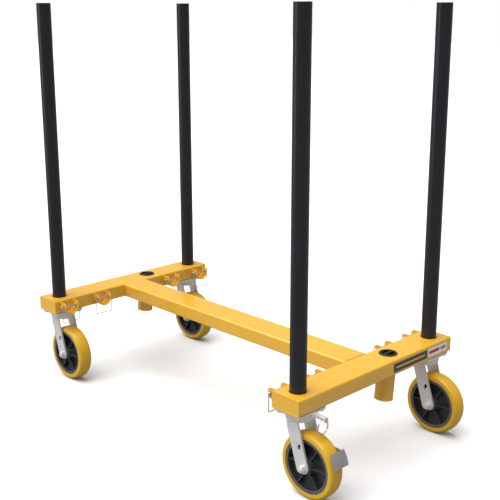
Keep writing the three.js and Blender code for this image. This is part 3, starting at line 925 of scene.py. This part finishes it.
# %% Caster plates
plate_low, plate_thick = 258.7, 8
plate = push([swivel + Vector((a, b, plate_low * mm)) for a, b in
              rounded(50.8 * mm, 57.15 * mm, 8 * mm, count=8)], (0, 0, plate_thick * mm))
break_edges(plate, 0.7 * mm, 2, 40)
race = lathe([(0, 243.8), (8.5, 243.8), (8.5, 244.2), (34.5, 244.2), (34.5, 247), (33.5, 250),
              (33.5, plate_low + 0.5), (0, plate_low + 0.5)], "z", swivel, 64)
king = lathe([(0, 223.65), (6.6, 223.65), (7.6, 224.4), (8.5, 224.4), (8.5, 244.5), (0, 244.5)],
             "z", swivel)
king_nut = hexagon(21, 225.2, 232.2, "z", swivel, 1.2, "low")
king_washer = lathe([(0, 232.2), (12.2, 232.2), (12.5, 232.5), (12.5, 233.0), (0, 233.0)], "z",
                    swivel)
bolt_x, bolt_y = 38, 46
bolt_at = swivel + Vector((bolt_x * mm, bolt_y * mm, 0))
bolt = hexagon(16, plate_low - 6.2, plate_low, "z", bolt_at, 1.1, "low")
washer_low = plate_low - 1.4
washer = lathe([(0, washer_low), (9.6, washer_low), (9.6, plate_low), (0, plate_low)], "z",
               bolt_at, 32)
bolt = weld(bolt, washer)
bolts = [copied(bolt, (-2 * bolt_x * mm * a, -2 * bolt_y * mm * b, 0))
         for a, b in ((1, 0), (0, 1), (1, 1))]
plate = weld(plate, race, king, king_nut, king_washer, bolt, *bolts)
at_casters(plate, "caster_plate", bright_zinc, "chassis", "zinc_plated_steel", "caster_plate")
print("four caster plates")

# %% [markdown]
# The fork is one 6 mm plate pressed into an upside-down U, with legs that sweep back to the
# axle and round toes. Its crown carries the lower half of the ball race, a pressed dish with a
# rolled lip. Across the wheel the fork is a bent line with a real bend radius, pushed along the
# trolley. What lies inside the legs' side view is kept. That view is two strips, from the
# crown to the axle and to a smaller round in front of it. Each strip is the tightest outline
# round a circle and the crown's corners, which the convex hull operator finds by itself.

# %% Forks
def wrapped(points, depth):
    """The tightest outline round these points, pushed out along Y."""
    draw(points)
    bpy.ops.mesh.select_all(action="SELECT")
    bpy.ops.mesh.duplicate_move(TRANSFORM_OT_translate={"value": (0, depth, 0)})
    bpy.ops.mesh.select_all(action="SELECT")
    bpy.ops.mesh.convex_hull()
    tidy_normals()
    return bpy.context.object


leg_in, leg_out, crown_low, crown_top = 31.0, 37.35, 236.65, 243.0
bend_out, bend_in = 9.0, 2.65
leg_end = 70
section = [(-leg_out, leg_end)]
section += arc((-leg_out + bend_out, crown_top - bend_out), bend_out, 180, 90, 10)
section += arc((leg_out - bend_out, crown_top - bend_out), bend_out, 90, 0, 10)
section += [(leg_out, leg_end), (leg_in, leg_end)]
section += arc((leg_in - bend_in, crown_low - bend_in), bend_in, 0, 90, 5)
section += arc((-leg_in + bend_in, crown_low - bend_in), bend_in, 90, 180, 5)
section += [(-leg_in, leg_end)]
fork = push([swivel + Vector((-30, a, b)) * mm for a, b in section], (150 * mm, 0, 0))
crown_corners = [(-20.5, 243.2), (-18.2, 215), (19.5, 243.2), (20.5, 231.65)]
axle_strip, front_strip = (
    wrapped([swivel + Vector((a, -45, b)) * mm
             for a, b in arc(toe, radius, 0, 345, 46) + crown_corners], 90 * mm)
    for toe, radius in (((46.2, 102.2), 17.8), ((35, 97), 14)))
carve(fork, carve(axle_strip, front_strip, how="UNION"), how="INTERSECT")
carve(fork, lathe([(0, -50), (6.5, -50), (6.5, 50), (0, 50)], "y", axle_at, 32))
tilt = Matrix.Rotation(math.radians(17), 3, "Y")
slot_radius, slot_half = 5.5, 4
slot_line = arc((0, slot_half), slot_radius, 0, 180, 10)
slot_line += arc((0, -slot_half), slot_radius, 180, 360, 10)
pivot_at = swivel + Vector((30.3 * mm, 0, 162.5 * mm))
slot_cut = push([pivot_at + tilt @ Vector((a, -50, b)) * mm for a, b in slot_line],
                (0, 100 * mm, 0))
carve(fork, slot_cut)
carve(fork, lathe([(0, 230), (9.2, 230), (9.2, 250), (0, 250)], "z", swivel, 40))
break_edges(fork, 0.6 * mm, 2, 40)
dish = lathe(
    [(30, 237), (36, 233.9)] + arc((38.5, 239.0), 5.2, 250, 335, 6)
    + [(43.9, 243.0), (44.5, 246.5), (44.5, 256.6), (44.1, 257.4), (42.6, 257.5), (41.6, 256.6),
       (41.2, 248.0), (39.2, 243.4), (30, 243.4), (30, 237)], "z", swivel, 72)
fork = weld(fork, dish)
at_casters(fork, "fork", bright_zinc, "fork_{where}", "zinc_plated_steel", "fork")
print("four forks, legs", 2 * leg_out, "mm apart outside")

# %% [markdown]
# A bolt runs through a spacer sleeve, on which the wheel turns. It has its head on one side
# and a nut on the other, each on a washer. All are zinc plated like the fork.

# %% Axles
sleeve = lathe([(6.2, -30.7), (9.0, -30.7), (9.2, -30.4), (9.2, 30.4), (9.0, 30.7), (6.2, 30.7),
                (6.2, -30.7)], "y", axle_at)
shaft = lathe([(0, -52.1), (4.9, -52.1), (6.0, -51.0), (6.0, 46), (0, 46)], "y", axle_at, 32)
washers = [lathe([(0, a), (11.6, a), (12.2, a + 0.5), (12.2, a + 1.5), (11.6, a + 2), (0, a + 2)],
                 "y", axle_at, 40) for a in (-39.65, 37.65)]
nut = hexagon(19, -49.6, -39.7, "y", axle_at, 1.6, "both")
head = hexagon(19, 39.7, 47.5, "y", axle_at, 1.6, "high")
axle = weld(nut, head, shaft, sleeve, *washers)
at_casters(axle, "axle", bright_zinc, "fork_{where}", "zinc_plated_steel", "axle")
print("four axles")

# %% [markdown]
# ## Wheels
#
# The wheel's centre is one casting: a rim, a thin web, a hub that stands proud of the rim, and
# six ribs on each side. The profile is spun with its fillets drawn in, the ribs are pushed
# outlines that are joined by a Boolean, and a bevel takes the sharpness off as casting does.
# The rim's faces are turned clean, so they are lighter and take their own finish. The rest of the
# casting is darker partly by its own grey and partly by painted shade of its recesses.

# %% Wheel centres
half = [(9.5, 28.0), (10.0, 28.5), (21.6, 28.5), (23.0, 27.6), (27.4, 8.5), (29.2, 5.2),
        (32.6, 3.5), (66.5, 3.5), (70.0, 4.8), (71.6, 8.2), (72.4, 22.6), (73.3, 23.5),
        (81.3, 23.5), (82.2, 22.6)]
profile = half + [(r, -h) for r, h in reversed(half)]
centre = lathe(profile + [profile[0]], "y", axle_at, 96)
rib_line = [(24, -22.5), (40, -18.2), (58, -17.6), (72.6, -19.4), (72.6, 19.4), (58, 17.6),
            (40, 18.2), (24, 22.5)]
rib_thick = 5.2
for k in range(6):
    angle = k * math.pi / 3
    way = Vector((math.cos(angle), 0, math.sin(angle)))
    side_way = Vector((-math.sin(angle), 0, math.cos(angle)))
    rib = push([axle_at + (way * r + Vector((0, h, 0)) - side_way * rib_thick / 2) * mm
                for r, h in rib_line], side_way * rib_thick * mm)
    carve(centre, rib, how="UNION")
break_edges(centre, 0.9 * mm, 2, 42)
print("wheel centre faces:", len(centre.data.polygons))

# %% Rim finish
# The casting's finish holds painted shade of the recesses; the rim's finish does not.
centre.data.materials.append(casting_with_painted_shade)
centre.data.materials.append(rim_grey)
pick(centre)
bpy.ops.object.mode_set(mode="EDIT")
faces_where(centre, lambda c, n: math.hypot(c.x - axle_at.x, c.z - axle_at.z) > 72.2 * mm)
centre.active_material_index = 1
bpy.ops.object.material_slot_assign()
bpy.ops.object.mode_set(mode="OBJECT")
at_casters(centre, "wheel_centre", None, "wheel_{where}", "dark_core", "wheel_core", smooth=40)
print("four wheel centres with turned rims")

# %% [markdown]
# The tread is polyurethane moulded round the centre. Its face is nearly flat in the middle
# and rolls over into the sides, so the profile is a flattened half round, spun finely enough
# that the rim of the wheel looks truly round.

# %% Treads
# The smaller the powers, the flatter the crown and the squarer its shoulders
crown, steps, shoulder, rise, half_tread = [], 28, 91.2, 10.4, 25
for k in range(1, steps):
    t = math.radians(-90 + 180 * k / steps)
    across_tread = half_tread * math.copysign(abs(math.sin(t)) ** 0.9, math.sin(t))
    crown.append((shoulder + rise * max(math.cos(t), 0) ** 0.82, across_tread))
profile = [(82.5, -24.6), (83.0, -25), (90.6, -25)] + crown
profile += [(90.6, 25), (83.0, 25), (82.5, 24.6), (82.5, -24.6)]
tyre = lathe(profile, "y", axle_at, 128)
at_casters(tyre, "tread", tread, "wheel_{where}", "yellow_polyurethane", "tyre", smooth=50)
lowest = min(v.co.z for v in tyre.data.vertices)
print("four treads, lowest point", round(lowest / mm, 2), "mm")

# %% [markdown]
# ## Brake
#
# A pedal plate stands behind the braked wheel. An arm joins it to a pivot in the far leg's
# slot, and treading on it swings its inner face onto the tread. The plate is sheet steel
# folded into two faces, so its side view is pushed across the wheel; the arm is the tightest
# outline round the pivot and the plate's edge.

# %% Brake pedal
def about_axle(radius, angle, across_wheel):
    return axle_at + Vector(
        (radius * math.cos(angle), across_wheel, radius * math.sin(angle))) * mm


# Both faces as (radius, angle in radians) about the axle, the outer one first
outer = [(116.4, 0.262), (117.5, 0.453), (117.6, 0.60), (117.1, 0.66)]
inner = [(114.1, 0.645), (113.6, 0.585), (114.0, 0.453), (112.9, 0.268)]
pedal = push([about_axle(r, a, -28.6) for r, a in outer + inner], (0, 59 * mm, 0))
arm_y = 26.2
eye = arc((30.3, 162.5), 9, 0, 340, 34)
edge = [about_axle(r, a, 0) for r, a in ((115.1, 0.60), (114.9, 0.36))]
arm = wrapped([swivel + Vector((a, arm_y, b)) * mm for a, b in eye]
              + [Vector((p.x, swivel.y + arm_y * mm, p.z)) for p in edge], 4.2 * mm)
carve(pedal, arm, how="UNION")
break_edges(pedal, 0.6 * mm, 3, 30)
stub = lathe([(0, 27.2), (3.7, 27.2), (3.7, 37.9), (6.4, 37.9), (6.4, 39.2), (5.6, 40), (0, 40)],
             "y", pivot_at, 32)
pedal = weld(pedal, stub)
finished(pedal, "brake_pedal_plate", dull_steel, "brake", "grey_steel", "brake_pedal", smooth=9)
print("brake pedal faces:", len(pedal.data.polygons))

# %% [markdown]
# ## Swivel lock
#
# Beside the braked caster's top plate sits a small channel with a spring-loaded plunger. Pulled
# by its split ring, the plunger frees the swivel. The channel is a block hollowed from below
# and bored through, whose sides are shorter than its ends so that the ring can travel under
# them; the plunger is turned; the split ring is nearly two turns of one wire, so it is drawn
# as a coil.

# %% Swivel lock channel
lock_from, lock_low, lock_top = 51.1, 249.5, 265.0
plunger_z = 255.0
inside_from = lock_from + 2.5
outline = [(-7, lock_low), (7, lock_low)] + arc((4.6, lock_top - 2.4), 2.4, 0, 90, 5)
outline += arc((-4.6, lock_top - 2.4), 2.4, 90, 180, 5)
channel = push([swivel + Vector((lock_from, a, b)) * mm for a, b in outline], (49 * mm, 0, 0))
hollow = push([swivel + Vector((inside_from, a, b)) * mm for a, b in
               [(-4.5, 240), (4.5, 240), (4.5, 262.5), (-4.5, 262.5)]], (44 * mm, 0, 0))
bore = lathe([(0, 40), (3.55, 40), (3.55, 110), (0, 110)], "x",
             swivel + Vector((0, 0, plunger_z * mm)), 32)
sides_cut = push([swivel + Vector((inside_from, a, b)) * mm for a, b in
                  [(-8, 240), (8, 240), (8, 254.4), (-8, 254.4)]], (44 * mm, 0, 0))
carve(channel, hollow, sides_cut, bore)
break_edges(channel, 0.4 * mm, 2, 40)
finished(channel, "swivel_lock_channel", bright_zinc, "chassis", "zinc_plated_steel",
         "swivel_lock_bracket")
print("swivel lock channel faces:", len(channel.data.polygons))

# %% Plunger and pull ring
plunger = lathe(
    [(0, 45.3), (2.2, 45.3), (3.2, 47.0), (3.2, 63.0), (4.1, 63.2), (4.1, 65.8), (3.2, 66.0),
     (3.2, 98.3), (2.6, 99.1), (0, 99.1)], "x",
    swivel + Vector((0, 0, plunger_z * mm)), 32)
ring_x, ring_top, ring_radius, wire_apart = 86.3, plunger_z - 1.7, 21.8, 4.2
eye = lathe([(0, -6), (1.95, -6), (1.95, 6), (0, 6)], "y",
            swivel + Vector((ring_x, 0, ring_top + 0.7)) * mm, 24)
carve(plunger, eye)
break_edges(plunger, 0.2 * mm, 2, 50)
coil, steps, steps_a_turn = [], 104, 56
for k in range(steps + 1):
    t = 2 * math.pi * k / steps_a_turn
    coil.append(swivel + Vector((
        ring_x + wire_apart * (k / steps - 0.5), ring_radius * math.sin(t),
        ring_top - ring_radius + ring_radius * math.cos(t))) * mm)
ring = wire(coil, 1.1 * mm, 2)
plunger = weld(plunger, ring)
finished(plunger, "swivel_lock_pin", pin_zinc, "lock_plunger", "zinc_plated_steel",
         "swivel_lock_plunger")
print("plunger with its ring,", len(plunger.data.polygons), "faces")

# %% [markdown]
# ## Labels
#
# Two thin labels sit on the outer face of the right cross-beam: a long dark one with a plain
# yellow stripe, and a white one with a red band and a grey patch. They carry no words. Each
# is a rounded outline pushed out by a third of a millimetre, and what is printed on it is a
# thinner one in front, so that it has an edge of its own and can't flicker.

# %% Labels
label_inks = {}
for ink, tones, gloss in (
    ("black", [(0.045, 0.043, 0.044), (0.055, 0.052, 0.052)], (0.30, 0.38)),
    ("white", [(0.95, 0.95, 0.95), (0.90, 0.90, 0.90)], (0.28, 0.36)),
    ("red", [(0.60, 0.025, 0.02), (0.52, 0.02, 0.018)], (0.30, 0.38)),
    ("yellow", [(0.85, 0.52, 0.10), (0.78, 0.46, 0.08)], (0.30, 0.38)),
    ("grey", [(0.30, 0.29, 0.28), (0.25, 0.25, 0.24)], (0.30, 0.38)),
):
    label_inks[ink] = finish_of(f"label_{ink}", tones, gloss, drift_scale=40)
wall_x = beam_x["right"] + half_beam


def label(name, ink, y0, y1, z0, z1, corner, lift, thick):
    """A rounded patch between these places, in mm, lifted off the beam's outer face."""
    outline = rounded((y1 - y0) / 2 * mm, (z1 - z0) / 2 * mm, corner * mm,
                      ((y0 + y1) / 2 * mm, (z0 + z1) / 2 * mm))
    piece = push([(wall_x + lift * mm, a, b) for a, b in outline], (thick * mm, 0, 0))
    finished(piece, name, label_inks[ink], "chassis", "black_plastic")


base, printed = (0.02, 0.3), (0.34, 0.12)
label("long_label", "black", 62, 240, 277.6, 306.4, 1.5, *base)
label("long_label_stripe", "yellow", 76, 226, 289.2, 294.8, 1, *printed)
label("end_label", "white", 241.5, 349, 278.2, 305.4, 6, *base)
label("end_label_band", "red", 249, 306, 287.5, 298.5, 2, *printed)
label("end_label_patch", "grey", 313, 341, 287.5, 298.5, 2, *printed)
print("two labels in", len(label_inks), "inks")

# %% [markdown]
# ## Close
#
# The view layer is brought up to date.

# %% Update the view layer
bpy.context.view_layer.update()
